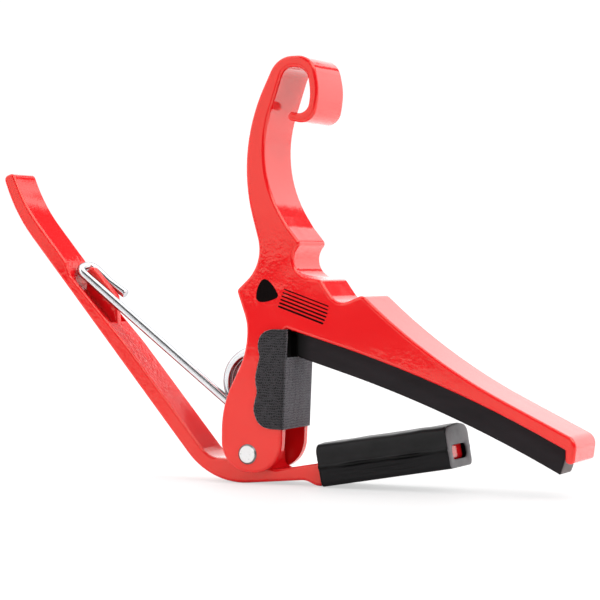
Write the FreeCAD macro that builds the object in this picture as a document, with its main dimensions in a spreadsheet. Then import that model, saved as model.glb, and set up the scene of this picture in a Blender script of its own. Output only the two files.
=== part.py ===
import FreeCAD, Part
import math
import os
import Sketcher

# Spring-loaded guitar capo, in millimetres.
# Each piece is drawn with the hinge pin's axis on the Y axis: +X runs towards the nose of the
# string bar and +Z is up. The placement cells then seat the capo on the ground plane.

Vector = FreeCAD.Vector

# Driving dimensions, one spreadsheet cell each.
SIZES = {
    "seat_x": -4.58,
    "seat_z": 5.87,
    "jaw_width": 12.7,
    "jaw_edge_radius": 0.65,
    "clevis_slot_width": 8.9,
    "pin_diameter": 3.95,
    "pin_stand_out": 0.3,
    "pin_chamfer": 0.35,
    "lever_width": 8.5,
    "lever_edge_radius": 0.6,
    "lever_bore_clearance": 0.05,
    "well_width": 6.8,
    "finger_width": 1.9,
    "finger_edge_radius": 0.5,
    "finger_clear_height": 2.0,
    "pad_width": 6.6,
    "boot_width": 11.6,
    "boot_side_radius": 1.6,
    "boot_bore_play": 0.05,
    "guard_side_thickness": 0.25,
    "guard_edge_radius": 0.6,
    "wire_diameter": 1.8,
    "coil_radius": 6.2,
    "coil_centre_x": -0.95,
    "coil_centre_z": 13.55,
    "coil_half_span": 2.2,
    "hook_half_gap": 1.95,
    "coil_end_angle": 20.0,
    "anchor_x": 2.6,
    "anchor_bend_radius": 3.0,
    "anchor_reach": 4.2,
    "anchor_end_play": 0.2,
    "anchor_hole_diameter": 2.1,
}

# Outlines in the XZ plane. Each corner is a name, its x and z, and the radius that rounds it.
OUTLINES = {
    # Curled hook, hand grip, spurs, string bar with its nose, and the clevis round the hinge.
    "jaw": [
        ("heel_back", -5.9, -3.6, 6.0),
        ("back_low", -5.8, 9.4, 20.0),
        ("back_mid", -0.3, 19.8, 16.0),
        ("back_neck", -0.3, 25.6, 9.0),
        ("back_spur", -2.5, 31.8, 0.9),
        ("back_hollow", 3.35, 37.1, 8.0),
        ("grip_back", -2.75, 58.85, 35.0),
        ("curl_back", 6.2, 76.8, 5.0),
        ("curl_top", 13.7, 76.8, 3.9),
        ("curl_front", 15.05, 70.2, 12.0),
        ("curl_under", 13.95, 63.3, 3.1),
        ("tip_low", 8.0, 64.6, 0.8),
        ("tip_high", 9.1, 66.2, 0.75),
        ("eye_low", 12.5, 64.95, 2.2),
        ("eye_front", 13.2, 69.5, 10.0),
        ("eye_top", 12.5, 74.6, 3.0),
        ("eye_back", 7.7, 74.6, 2.6),
        ("grip_front", 1.15, 55.4, 23.0),
        ("grip_foot", 8.55, 44.0, 5.0),
        ("spur_one", 11.2, 40.8, 0.9),
        ("notch", 6.2, 34.9, 3.6),
        ("spur_two", 15.4, 33.9, 1.0),
        ("saddle", 19.0, 28.9, 3.0),
        ("crest", 24.05, 31.05, 1.3),
        ("bar_bend", 37.5, 18.9, 118.0),
        ("nose_top", 66.35, 4.95, 2.3),
        ("nose_low", 65.75, 0.5, 0.8),
        ("nub_in", 64.1, 0.7, 0.75),
        ("nub_root", 64.1, 3.15, 0.3),
        ("bar_under", 41.6, 14.65, 250.0),
        ("throat", 8.1, 24.5, 0.3),
        ("heel_front", 6.85, -3.6, 6.1),
    ],
    # Long handle, elbow, hub round the pin, and the short arm that goes into the boot.
    "lever": [
        ("handle_end_out", -57.2, 54.8, 1.0),
        ("handle_end_in", -54.75, 55.6, 1.0),
        ("handle_in", -52.2, 49.1, 34.0),
        ("step_top", -42.3, 37.37, 1.0),
        ("step_low", -41.1, 34.3, 0.8),
        ("ramp_end", -28.5, 21.0, 40.0),
        ("elbow_in", -9.6, -1.2, 5.0),
        ("hub_back", -3.35, -1.2, 0.8),
        ("hub_top_back", -3.35, 3.35, 3.3),
        ("hub_top_front", 3.35, 3.35, 3.3),
        ("hub_front", 3.35, -3.25, 1.5),
        ("arm_end_top", 40.1, 3.23, 0.7),
        ("arm_end_low", 40.7, -0.12, 0.7),
        ("collar_step", 15.1, -4.55, 0.2),
        ("collar_low", 15.25, -5.8, 0.7),
        ("collar_toe", 13.5, -5.75, 3.0),
        ("foot", 11.3, -4.75, 3.5),
        ("elbow_out", -9.2, -6.5, 15.7),
        ("handle_out", -54.4, 47.1, 35.0),
    ],
    # Finger on the lever's inner face that the spring's hook straddles.
    "finger": [
        ("finger_heel", -39.6, 30.9, 0.2),
        ("finger_nose", -38.9, 37.4, 0.9),
        ("finger_crest", -32.4, 30.4, 1.2),
        ("finger_toe", -31.9, 21.7, 0.2),
    ],
    # Rubber strip under the string bar, let into a shallow groove.
    "pad": [
        ("pad_root_top", 9.0, 25.0, 0.3),
        ("pad_top_bend", 41.9, 15.4, 250.8),
        ("pad_end_top", 64.3, 3.85, 0.3),
        ("pad_end_low", 62.3, -1.75, 0.4),
        ("pad_low_bend", 39.75, 9.7, 245.0),
        ("pad_root_low", 9.0, 19.0, 0.3),
    ],
    # Rubber sleeve on the lever's short arm.
    "boot": [
        ("boot_root_top", 13.95, 2.25, 0.3),
        ("boot_end_top", 40.75, 6.7, 0.5),
        ("boot_end_low", 42.0, -1.25, 0.5),
        ("boot_root_low", 15.4, -5.86, 0.4),
    ],
    "sleeve_bore": [
        ("bore_root_top", 12.0, -1.67, 0.1),
        ("bore_end_top", 46.0, 4.33, 0.1),
        ("bore_end_low", 46.0, 0.77, 0.1),
        ("bore_root_low", 12.0, -5.185, 0.1),
    ],
    # Side panel of the cloth wrap, with three lobes along its back edge.
    "guard": [
        ("guard_top_back", 2.1, 24.5, 2.4),
        ("guard_dip_one", 2.65, 18.6, 1.5),
        ("guard_lobe_two", 1.3, 15.2, 3.0),
        ("guard_dip_two", 2.05, 12.0, 1.5),
        ("guard_lobe_three", 0.9, 8.4, 2.5),
        ("guard_low_back", 1.5, 5.1, 1.6),
        ("guard_low_front", 7.6, 5.0, 0.3),
        ("guard_top_front", 8.45, 24.0, 0.3),
    ],
    # Room inside the wrap for the clevis: its front edge is the clevis's own.
    "guard_room": [
        ("room_low_back", -12.0, -3.6, 0.5),
        ("room_top_back", -12.0, 33.0, 0.5),
        ("room_top_front", 8.48, 33.0, 0.5),
        ("room_low_front", 6.85, -3.6, 0.5),
    ],
    # Gap between the two ears of the clevis.
    "slot": [
        ("slot_low_back", -12.0, -9.0, 0.5),
        ("slot_top_back", -12.0, 24.0, 0.5),
        ("slot_top_front", 8.7, 24.0, 0.5),
        ("slot_low_front", 8.7, -9.0, 0.5),
    ],
    # Opening in the front of the wrap, behind the root of the string pad.
    "guard_window": [
        ("window_low_back", 4.0, 18.9, 0.2),
        ("window_top_back", 4.0, 27.0, 0.2),
        ("window_top_front", 11.0, 27.0, 0.2),
        ("window_low_front", 11.0, 18.9, 0.2),
    ],
    # Wells that let the spring's hook sit down on each side of the finger.
    "well": [
        ("well_head", -41.3, 36.0, 0.3),
        ("well_sky", -36.0, 38.0, 0.3),
        ("well_out", -31.0, 27.5, 0.3),
        ("well_end", -32.3, 24.1, 1.2),
        ("well_low", -40.75, 33.0, 0.8),
    ],
}

# Spring hook, as points that follow the straight leg: x, side of the finger (-1 or 1), z.
HOOK = {
    "hook_near": (-40.55, -1, 35.75),
    "hook_far": (-40.1, 1, 36.6),
    "hook_rise": (-37.5, 1, 35.95),
    "hook_tip": (-31.3, 1, 30.9),
}
HOOK_RADII = (1.6, 1.6, 2.0)


doc = FreeCAD.newDocument("guitar_capo")
sheet = doc.addObject("Spreadsheet::Sheet", "sheet")


def write_cell(row, alias, value):
    """Puts one named number on the sheet."""
    sheet.set("A%d" % row, alias.replace("_", " "))
    sheet.set("B%d" % row, "%g" % value)
    sheet.setAlias("B%d" % row, alias)


def fill_sheet():
    """Writes the driving dimensions and every outline corner."""
    cells = list(SIZES.items())
    for corners in OUTLINES.values():
        for name, x, z, radius in corners:
            cells += [(name + "_x", x), (name + "_z", z), (name + "_radius", radius)]
    for name, (x, side, z) in HOOK.items():
        cells += [(name + "_x", x), (name + "_z", z)]
    for row, (alias, value) in enumerate(cells, start=1):
        write_cell(row, alias, value)
    doc.recompute()


def size(alias):
    """Reads one number back from the sheet."""
    return float(sheet.get(alias))


def new_body(name):
    """Starts a body whose placement follows the seating cells."""
    body = doc.addObject("PartDesign::Body", name)
    body.Label = name
    seat(body)
    return body


def seat(piece):
    """Moves a piece from the hinge's axes to the capo's own origin on the ground."""
    piece.setExpression(".Placement.Base.x", "sheet.seat_x")
    piece.setExpression(".Placement.Base.z", "sheet.seat_z")


def new_sketch(body, name, role="XZ_Plane"):
    """Adds a sketch on one of the body's own origin planes."""
    sketch = body.newObject("Sketcher::SketchObject", name)
    plane = [item for item in body.Origin.OriginFeatures if item.Role == role][0]
    sketch.AttachmentSupport = [(plane, "")]
    sketch.MapMode = "FlatFace"
    return sketch


def bind(sketch, constraint, name, cell):
    """Adds a constraint, names it and ties it to a cell."""
    index = sketch.addConstraint(constraint)
    sketch.renameConstraint(index, name)
    sketch.setExpression("Constraints." + name, "sheet." + cell)


def corner_arc(before, corner, after, radius):
    """Returns the two tangent points and the centre of the arc that rounds a corner."""
    back = (before - corner).normalize()
    ahead = (after - corner).normalize()
    half_angle = back.getAngle(ahead) / 2
    run = radius / math.tan(half_angle)
    centre = corner + (back + ahead).normalize() * (radius / math.sin(half_angle))
    return corner + back * run, corner + ahead * run, centre


def outline_sketch(body, key):
    """Draws an outline as straight lines and tangent arcs, driven by its corners' cells."""
    corners = OUTLINES[key]
    count = len(corners)
    points = [Vector(size(c[0] + "_x"), size(c[0] + "_z"), 0) for c in corners]
    arcs = [
        corner_arc(points[i - 1], points[i], points[(i + 1) % count], size(corners[i][0] + "_radius"))
        for i in range(count)
    ]
    sketch = new_sketch(body, key + "_outline")
    geometry = []
    for i in range(count):
        arc_in, arc_out, centre = arcs[i]
        turn = (arc_in - centre).cross(arc_out - centre).z
        start, end = (arc_in, arc_out) if turn > 0 else (arc_out, arc_in)
        circle = Part.Circle(centre, Vector(0, 0, 1), (arc_in - centre).Length)
        geometry.append(Part.ArcOfCircle(circle, circle.parameter(start), circle.parameter(end)))
        geometry.append(Part.LineSegment(arc_out, arcs[(i + 1) % count][0]))
    sketch.addGeometry(geometry, False)
    first_point = 2 * count
    sketch.addGeometry([Part.Point(point) for point in points], True)
    joints = []
    for i in range(count):
        arc_in, arc_out, centre = arcs[i]
        leftward = (arc_in - centre).cross(arc_out - centre).z > 0
        arc_start, arc_end = (1, 2) if leftward else (2, 1)
        arc, line, line_before = 2 * i, 2 * i + 1, (2 * i - 1) % (2 * count)
        joints.append(Sketcher.Constraint("Tangent", arc, arc_end, line, 1))
        joints.append(Sketcher.Constraint("Tangent", line_before, 2, arc, arc_start))
        joints.append(Sketcher.Constraint("PointOnObject", first_point + i, 1, line))
        joints.append(Sketcher.Constraint("PointOnObject", first_point + i, 1, line_before))
    sketch.addConstraint(joints)
    for i, (name, x, z, radius) in enumerate(corners):
        point = first_point + i
        bind(sketch, Sketcher.Constraint("DistanceX", -1, 1, point, 1, x), name + "_x", name + "_x")
        bind(sketch, Sketcher.Constraint("DistanceY", -1, 1, point, 1, z), name + "_z", name + "_z")
        bind(sketch, Sketcher.Constraint("Radius", 2 * i, radius), name + "_r", name + "_radius")
    doc.recompute()
    return sketch


def circle_sketch(body, name, diameter_cell, x_cell=None, y_cell=None, role="XZ_Plane", grow=""):
    """Draws one circle, centred on the body's origin or on a pair of cells."""
    sketch = new_sketch(body, name, role)
    x = size(x_cell) if x_cell else 0
    y = size(y_cell) if y_cell else 0
    sketch.addGeometry(Part.Circle(Vector(x, y, 0), Vector(0, 0, 1), size(diameter_cell) / 2), False)
    if x_cell:
        bind(sketch, Sketcher.Constraint("DistanceX", -1, 1, 0, 3, x), "across", x_cell)
        bind(sketch, Sketcher.Constraint("DistanceY", -1, 1, 0, 3, y), "up", y_cell)
    else:
        sketch.addConstraint(Sketcher.Constraint("Coincident", 0, 3, -1, 1))
    bind(sketch, Sketcher.Constraint("Diameter", 0, size(diameter_cell)), "bore", diameter_cell + grow)
    doc.recompute()
    return sketch


def pad(body, name, sketch, width):
    """Extrudes a sketch to both sides of the middle plane."""
    feature = body.newObject("PartDesign::Pad", name)
    feature.Profile = sketch
    feature.SideType = "Symmetric"
    feature.setExpression("Length", width)
    doc.recompute()
    return feature


def pocket(body, name, sketch, width):
    """Cuts a sketch to both sides of the middle plane, and makes sure that it cuts."""
    volume = body.Shape.Volume
    feature = body.newObject("PartDesign::Pocket", name)
    feature.Profile = sketch
    feature.SideType = "Symmetric"
    feature.setExpression("Length", width)
    doc.recompute()
    if not feature.Shape.Volume < volume - 0.01:
        raise RuntimeError(name + " removes nothing")
    return feature


def rounded_edges(body, base, name, radius, chosen):
    """Rounds the chosen edges of a feature."""
    edges = ["Edge%d" % (i + 1) for i, edge in enumerate(base.Shape.Edges) if chosen(edge)]
    feature = body.newObject("PartDesign::Fillet", name)
    feature.Base = (base, edges)
    feature.setExpression("Radius", radius)
    doc.recompute()
    return feature


def lies_at(y):
    """Chooses edges that lie in either side face, at plus or minus y."""
    return lambda edge: abs(edge.BoundBox.YLength) < 1e-6 and abs(abs(edge.BoundBox.YMin) - y) < 1e-6


def make_jaw():
    """Cast jaw: hook, grip, string bar and clevis in one piece."""
    body = new_body("jaw_frame")
    blank = pad(body, "blank", outline_sketch(body, "jaw"), "sheet.jaw_width")
    rounded_edges(body, blank, "soft_edges", "sheet.jaw_edge_radius", lies_at(size("jaw_width") / 2))
    pocket(body, "clevis_slot", outline_sketch(body, "slot"), "sheet.clevis_slot_width")
    pocket(body, "pad_groove", outline_sketch(body, "pad"), "sheet.pad_width")
    pocket(body, "pin_bore", circle_sketch(body, "pin_bore_circle", "pin_diameter"), "2 * sheet.jaw_width")
    anchor = circle_sketch(
        body, "anchor_circle", "anchor_hole_diameter", "anchor_x", "coil_half_span", "XY_Plane"
    )
    anchor.setExpression(".AttachmentOffset.Base.z", "sheet.slot_top_back_z")
    doc.recompute()
    pocket(body, "anchor_hole", anchor, "2 * sheet.anchor_reach + 1")
    return body


def height_over_ramp(edge):
    """Measures how high an edge's middle stands over the line from the finger's heel to its toe."""
    heel = Vector(size("finger_heel_x"), 0, size("finger_heel_z"))
    toe = Vector(size("finger_toe_x"), 0, size("finger_toe_z"))
    return abs((edge.BoundBox.Center - heel).cross(toe - heel).y) / (toe - heel).Length


def make_lever():
    """Cast lever: handle, hub and boot arm, with the finger that holds the spring."""
    body = new_body("clamp_lever")
    blank = pad(body, "blank", outline_sketch(body, "lever"), "sheet.lever_width")
    rounded_edges(body, blank, "soft_edges", "sheet.lever_edge_radius", lies_at(size("lever_width") / 2))
    pocket(body, "hook_wells", outline_sketch(body, "well"), "sheet.well_width")
    finger = pad(body, "finger", outline_sketch(body, "finger"), "sheet.finger_width")
    half_finger = size("finger_width") / 2
    rounded_edges(
        body, finger, "finger_edges", "sheet.finger_edge_radius",
        lambda edge: lies_at(half_finger)(edge) and height_over_ramp(edge) > size("finger_clear_height"),
    )
    bore = circle_sketch(body, "hub_bore_circle", "pin_diameter", grow=" + 2 * sheet.lever_bore_clearance")
    pocket(body, "hub_bore", bore, "2 * sheet.lever_width")
    return body


def make_pin():
    """Hinge pin, pressed into both ears, with chamfered ends that stand a little proud."""
    body = new_body("hinge_pin")
    circle = circle_sketch(body, "pin_circle", "pin_diameter")
    rod = pad(body, "rod", circle, "sheet.jaw_width + 2 * sheet.pin_stand_out")
    chamfer = body.newObject("PartDesign::Chamfer", "pin_chamfers")
    rims = [i for i, edge in enumerate(rod.Shape.Edges) if abs(edge.BoundBox.YLength) < 1e-6]
    chamfer.Base = (rod, ["Edge%d" % (i + 1) for i in rims])
    chamfer.setExpression("Size", "sheet.pin_chamfer")
    doc.recompute()
    return body


def make_pad():
    """Rubber strip that presses the strings down."""
    body = new_body("string_pad")
    pad(body, "strip", outline_sketch(body, "pad"), "sheet.pad_width")
    return body


def make_boot():
    """Rubber sleeve that rests against the back of the neck, open at both ends."""
    body = new_body("lever_boot")
    blank = pad(body, "blank", outline_sketch(body, "boot"), "sheet.boot_width")
    rounded_edges(
        body, blank, "soft_top", "sheet.boot_side_radius",
        lambda edge: lies_at(size("boot_width") / 2)(edge) and edge.BoundBox.XLength > 20
        and edge.BoundBox.ZMax > size("boot_end_top_z") - 1.0,
    )
    bore = outline_sketch(body, "sleeve_bore")
    pocket(body, "sleeve_bore", bore, "sheet.lever_width + 2 * sheet.boot_bore_play")
    return body


def make_guard():
    """Cloth wrap round the front of the clevis, which keeps the metal off the neck."""
    body = new_body("neck_guard")
    wrap = pad(
        body, "wrap", outline_sketch(body, "guard"), "sheet.jaw_width + 2 * sheet.guard_side_thickness"
    )
    half_width = size("jaw_width") / 2 + size("guard_side_thickness")
    rounded_edges(
        body, wrap, "front_edges", "sheet.guard_edge_radius",
        lambda edge: lies_at(half_width)(edge) and edge.BoundBox.XMin > size("guard_low_front_x") - 0.2,
    )
    pocket(body, "clevis_room", outline_sketch(body, "guard_room"), "sheet.jaw_width")
    pocket(body, "pad_window", outline_sketch(body, "guard_window"), "sheet.clevis_slot_width")
    return body


def rounded_path(points, radii):
    """Joins points by straight runs and tangent arcs, and returns the wire."""
    edges = []
    start = points[0]
    for i, radius in enumerate(radii, start=1):
        arc_in, arc_out, centre = corner_arc(points[i - 1], points[i], points[i + 1], radius)
        middle = centre + (points[i] - centre).normalize() * radius
        edges.append(Part.LineSegment(start, arc_in).toShape())
        edges.append(Part.Arc(arc_in, middle, arc_out).toShape())
        start = arc_out
    edges.append(Part.LineSegment(start, points[-1]).toShape())
    return Part.Wire(edges)


def swept_wire(path, start, heading, radius):
    """Sweeps the round wire along a path."""
    section = Part.Wire([Part.Circle(start, heading, radius).toShape()])
    return path.makePipeShell([section], True, True)


def make_spring():
    """Torsion spring: hooked leg to the lever, coil between the ears, leg into the jaw."""
    radius = size("wire_diameter") / 2
    coil_radius = size("coil_radius")
    half_span = size("coil_half_span")
    centre = Vector(size("coil_centre_x"), 0, size("coil_centre_z"))
    gap = size("hook_half_gap")
    hook = [Vector(size(n + "_x"), side * gap, size(n + "_z")) for n, (x, side, z) in HOOK.items()]

    # The long leg meets the coil where it is tangent to it, low on the back.
    to_centre = Vector(centre.x - hook[0].x, 0, centre.z - hook[0].z)
    swing = math.asin(coil_radius / to_centre.Length)
    heading = math.atan2(to_centre.z, to_centre.x) - swing
    start_angle = heading - math.pi / 2
    end_angle = math.radians(size("coil_end_angle"))
    turns = 3 + (end_angle - start_angle % (2 * math.pi)) / (2 * math.pi)
    leg_end = centre + Vector(math.cos(start_angle), 0, math.sin(start_angle)) * coil_radius
    leg_end.y = -half_span

    # The coil is a helix about the Y axis that turns up from the long leg to the anchor leg.
    helix = Part.makeHelix(2 * half_span / turns, 2 * half_span, coil_radius)
    rise = half_span / (math.pi * coil_radius * turns)
    profile = Part.Wire([Part.Circle(Vector(coil_radius, 0, 0), Vector(0, 1, rise), radius).toShape()])
    coil = Part.Wire(helix.Edges).makePipeShell([profile], True, True)
    coil.mirror(Vector(0, 0, 0), Vector(0, 1, 0))
    coil.rotate(Vector(0, 0, 0), Vector(1, 0, 0), -90)
    coil.rotate(Vector(0, 0, 0), Vector(0, 1, 0), -math.degrees(start_angle))
    coil.translate(centre - Vector(0, half_span, 0))

    leg_path = rounded_path([leg_end] + hook, HOOK_RADII)
    leg = swept_wire(leg_path, leg_end, hook[0] - leg_end, radius)
    anchor_heading = Vector(-math.sin(end_angle), 0, math.cos(end_angle))
    coil_end = centre + Vector(math.cos(end_angle), 0, math.sin(end_angle)) * coil_radius
    coil_end.y = half_span
    anchor_bend = coil_end + anchor_heading * ((coil_end.x - size("anchor_x")) / math.sin(end_angle))
    anchor_top = Vector(anchor_bend)
    anchor_top.z = size("slot_top_back_z") + size("anchor_reach") - size("anchor_end_play")
    anchor_path = rounded_path([coil_end, anchor_bend, anchor_top], [size("anchor_bend_radius")])
    anchor = swept_wire(anchor_path, coil_end, anchor_heading, radius)
    knuckles = [Part.makeSphere(radius, leg_end), Part.makeSphere(radius, coil_end)]
    spring = doc.addObject("Part::Feature", "torsion_spring")
    spring.Label = "torsion_spring"
    spring.Shape = coil.fuse([leg, anchor] + knuckles).removeSplitter()
    seat(spring)
    doc.recompute()
    return spring


def check_document():
    """Stops if any feature failed."""
    for item in doc.Objects:
        if "Invalid" in item.State or "Error" in item.State:
            raise RuntimeError("%s failed: %s" % (item.Name, item.State))


def write_parts(pieces):
    """Checks each piece's solid and writes it to its own file."""
    os.makedirs("parts", exist_ok=True)
    for piece in pieces:
        shape = piece.Shape
        if shape.isNull() or not shape.isValid():
            raise RuntimeError(piece.Label + " has no valid shape")
        box = shape.optimalBoundingBox(False, False)
        print("%-15s %d solid %9.1f mm3  x %7.2f %7.2f  y %6.2f %6.2f  z %6.2f %6.2f" % (
            piece.Label, len(shape.Solids), shape.Volume,
            box.XMin, box.XMax, box.YMin, box.YMax, box.ZMin, box.ZMax,
        ))
    for piece in pieces:
        piece.Shape.exportStep(os.path.join("parts", piece.Label + ".step"))


fill_sheet()
capo = [make_jaw(), make_lever(), make_pin(), make_spring(), make_pad(), make_boot(), make_guard()]
doc.recompute()
check_document()
write_parts(capo)
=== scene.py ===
import bpy
import bmesh
import math

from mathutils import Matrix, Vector, noise


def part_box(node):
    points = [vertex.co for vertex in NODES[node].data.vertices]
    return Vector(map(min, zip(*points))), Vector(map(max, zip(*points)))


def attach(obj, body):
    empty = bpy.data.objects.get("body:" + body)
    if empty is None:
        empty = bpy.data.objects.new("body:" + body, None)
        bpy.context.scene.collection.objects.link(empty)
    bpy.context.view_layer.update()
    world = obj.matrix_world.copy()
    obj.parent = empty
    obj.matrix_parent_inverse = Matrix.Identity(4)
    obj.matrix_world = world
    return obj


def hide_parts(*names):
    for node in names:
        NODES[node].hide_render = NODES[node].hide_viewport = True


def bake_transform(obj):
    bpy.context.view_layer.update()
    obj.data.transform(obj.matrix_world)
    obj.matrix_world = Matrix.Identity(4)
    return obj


MM = 0.001
# The near face of the castings, in millimetres from their middle plane.
NEAR_FACE = -6.35

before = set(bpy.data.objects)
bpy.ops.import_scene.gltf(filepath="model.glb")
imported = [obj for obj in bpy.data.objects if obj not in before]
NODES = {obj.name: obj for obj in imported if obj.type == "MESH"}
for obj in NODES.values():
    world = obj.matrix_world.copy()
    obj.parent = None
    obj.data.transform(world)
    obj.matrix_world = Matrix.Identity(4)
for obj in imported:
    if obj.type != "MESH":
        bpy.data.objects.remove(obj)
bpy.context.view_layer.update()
scene = bpy.context.scene
scene.view_settings.view_transform = "Standard"

# The hinge pin's axis, which the lever, the jaw and the spring are all laid out from.
PIN_LOW, PIN_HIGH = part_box("hinge_pin")
PIN = (PIN_LOW + PIN_HIGH) / 2


def at(x, y, z):
    """A point given in millimetres from the hinge pin's axis, in the row frame."""
    return PIN + Vector((x, y, z)) * MM


# ---------------------------------------------------------------- nodes and materials

class Graph:
    """A small helper that adds and links shader nodes."""

    def __init__(self, tree):
        self.tree = tree
        tree.nodes.clear()

    def node(self, kind, inputs=None, **settings):
        made = self.tree.nodes.new(kind)
        for key, value in settings.items():
            setattr(made, key, value)
        for key, value in (inputs or {}).items():
            if isinstance(value, bpy.types.NodeSocket):
                self.tree.links.new(value, made.inputs[key])
            else:
                made.inputs[key].default_value = value
        return made

    def place(self):
        """The point itself, in the row frame."""
        return self.node("ShaderNodeTexCoord").outputs["Object"]

    def axes(self, vector):
        return self.node("ShaderNodeSeparateXYZ", {0: vector}).outputs

    def facing(self):
        """How far the surface looks along x."""
        return self.axes(self.node("ShaderNodeNewGeometry").outputs["True Normal"])[0]

    def attribute(self, name, output="Fac"):
        return self.node("ShaderNodeAttribute", attribute_name=name).outputs[output]

    def drawn(self, vector, squeeze, turn):
        """A place squeezed along x and turned about y, for marks drawn out along a part."""
        inputs = {"Vector": vector, "Rotation": (0.0, turn, 0.0), "Scale": (squeeze, 1, 1)}
        return self.node("ShaderNodeMapping", inputs).outputs[0]

    def math(self, operation, *values):
        return self.node("ShaderNodeMath", dict(enumerate(values)), operation=operation).outputs[0]

    def mix(self, factor, a, b):
        """Mixes two colours, which are the node's inputs 6 and 7."""
        return self.node("ShaderNodeMix", {0: factor, 6: a, 7: b}, data_type="RGBA").outputs[2]

    def ramp(self, value, low, high):
        """Runs from one colour to the other over the middle of a noise's range."""
        made = self.node("ShaderNodeValToRGB", {0: value})
        for element, place, colour in zip(made.color_ramp.elements, (0.3, 0.7), (low, high)):
            element.position = place
            element.color = colour
        return made.outputs[0]

    def step(self, value, low, high):
        """Rises smoothly from 0 at low to 1 at high (or falls, when high is the smaller)."""
        flip = high < low
        inputs = {0: value, 1: min(low, high), 2: max(low, high), 3: 1.0 * flip, 4: 1.0 - flip}
        return self.node("ShaderNodeMapRange", inputs, interpolation_type="SMOOTHSTEP").outputs[0]

    def window(self, value, low, high, edge):
        """1 between low and high, with edges that soft."""
        rise = self.step(value, low - edge, low + edge)
        return self.math("MULTIPLY", rise, self.step(value, high + edge, high - edge))

    def near(self, place, centre, reach):
        """1 at a point of the row frame, fading to 0 at that reach."""
        gap = self.node("ShaderNodeVectorMath", {0: place, 1: centre}, operation="DISTANCE").outputs[1]
        return self.step(gap, reach, reach * 0.3)

    def noise(self, vector, scale, detail=2.0, roughness=0.5):
        return self.node(
            "ShaderNodeTexNoise",
            {"Vector": vector, "Scale": scale, "Detail": detail, "Roughness": roughness},
        ).outputs[0]

    def bump(self, height, distance, strength=1.0, normal=None):
        inputs = {"Height": height, "Distance": distance, "Strength": strength}
        if normal is not None:
            inputs["Normal"] = normal
        return self.node("ShaderNodeBump", inputs).outputs[0]


def new_material(name):
    made = bpy.data.materials.new(name)
    made.use_nodes = True
    return made, Graph(made.node_tree)


def finish_material(graph, inputs):
    shader = graph.node("ShaderNodeBsdfPrincipled", inputs)
    graph.node("ShaderNodeOutputMaterial", {"Surface": shader.outputs[0]})


def grey(value):
    return (value, value, value, 1.0)


def red_paint():
    """Thick glossy red paint over a cast surface: orange peel, and wrinkles in a few places."""
    material, g = new_material("red_paint")
    place = g.place()
    # The lever's ramp is furrowed.
    ramp = g.window(g.axes(place)[0], at(-42, 0, 0).x, at(-19, 0, 0).x, 3 * MM)
    furrow = g.math("MULTIPLY", g.noise(g.drawn(place, 0.35, 0.9), 1500.0, 1.0), ramp)
    # The wrinkled patches are the grip's foot, the bar and beside the cloth: x, z, reach, strength.
    rough = g.math("MULTIPLY", ramp, 0.5)
    for x, z, reach, strength in ((3.5, 34.5, 9.5, 1.0), (33.0, 18.8, 8, 0.45), (0.0, 20.2, 4, 1.0)):
        patch = g.near(place, at(x, NEAR_FACE, z), reach * MM)
        rough = g.math("MAXIMUM", rough, g.math("MULTIPLY", patch, strength))
    rough = g.math("MULTIPLY_ADD", rough, 0.85, 0.15)
    patchy = g.step(g.noise(place, 150.0, 1.0), 0.38, 0.62)
    wrinkle = g.math("MULTIPLY", g.noise(place, 1150.0, 1.5), g.math("MULTIPLY", rough, patchy))
    peel = g.noise(place, 2500.0, 1.0)
    colour = g.ramp(g.noise(place, 60.0), (0.64, 0.0065, 0.0095, 1), (0.67, 0.008, 0.011, 1))
    normal = g.bump(g.noise(place, 180.0, 1.0), 0.03 * MM)
    normal = g.bump(wrinkle, 0.045 * MM, 1.0, normal)
    normal = g.bump(furrow, 0.07 * MM, 1.0, normal)
    normal = g.bump(peel, 0.004 * MM, 1.0, normal)
    finish_material(g, {
        "Base Color": colour, "Roughness": 0.08, "Specular IOR Level": 0.5,
        "Specular Tint": (1.0, 0.93, 0.72, 1.0), "Normal": normal,
    })
    return material


def pad_rubber():
    """Moulded rubber: matt, faintly streaked along the strip, greyer on the cut end."""
    material, g = new_material("pad_rubber")
    place = g.place()
    x = g.axes(place)[0]
    cut = g.math("MULTIPLY", g.step(g.facing(), 0.7, 0.85), g.step(x, at(58, 0, 0).x, at(60, 0, 0).x))
    drawn = g.drawn(place, 0.25, 0.42)
    shade = g.noise(drawn, 300.0, 3.0, 0.6)
    body = g.ramp(shade, (0.0095, 0.0072, 0.0085, 1), (0.0150, 0.0112, 0.0132, 1))
    # Painted shade: the end beside the clevis is darker, for the shade the clevis throws on it.
    body = g.mix(g.step(x, at(12.5, 0, 0).x, at(9.5, 0, 0).x), body, grey(0.0015))
    colour = g.mix(cut, body, (0.125, 0.108, 0.105, 1))
    normal = g.bump(g.noise(place, 2600.0, 3.0, 0.6), 0.02 * MM, 0.5)
    normal = g.bump(g.noise(drawn, 500.0), 0.05 * MM, 0.4, normal)
    finish_material(g, {
        "Base Color": colour, "Roughness": 0.55, "Specular IOR Level": 0.12, "Normal": normal,
    })
    return material


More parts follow.
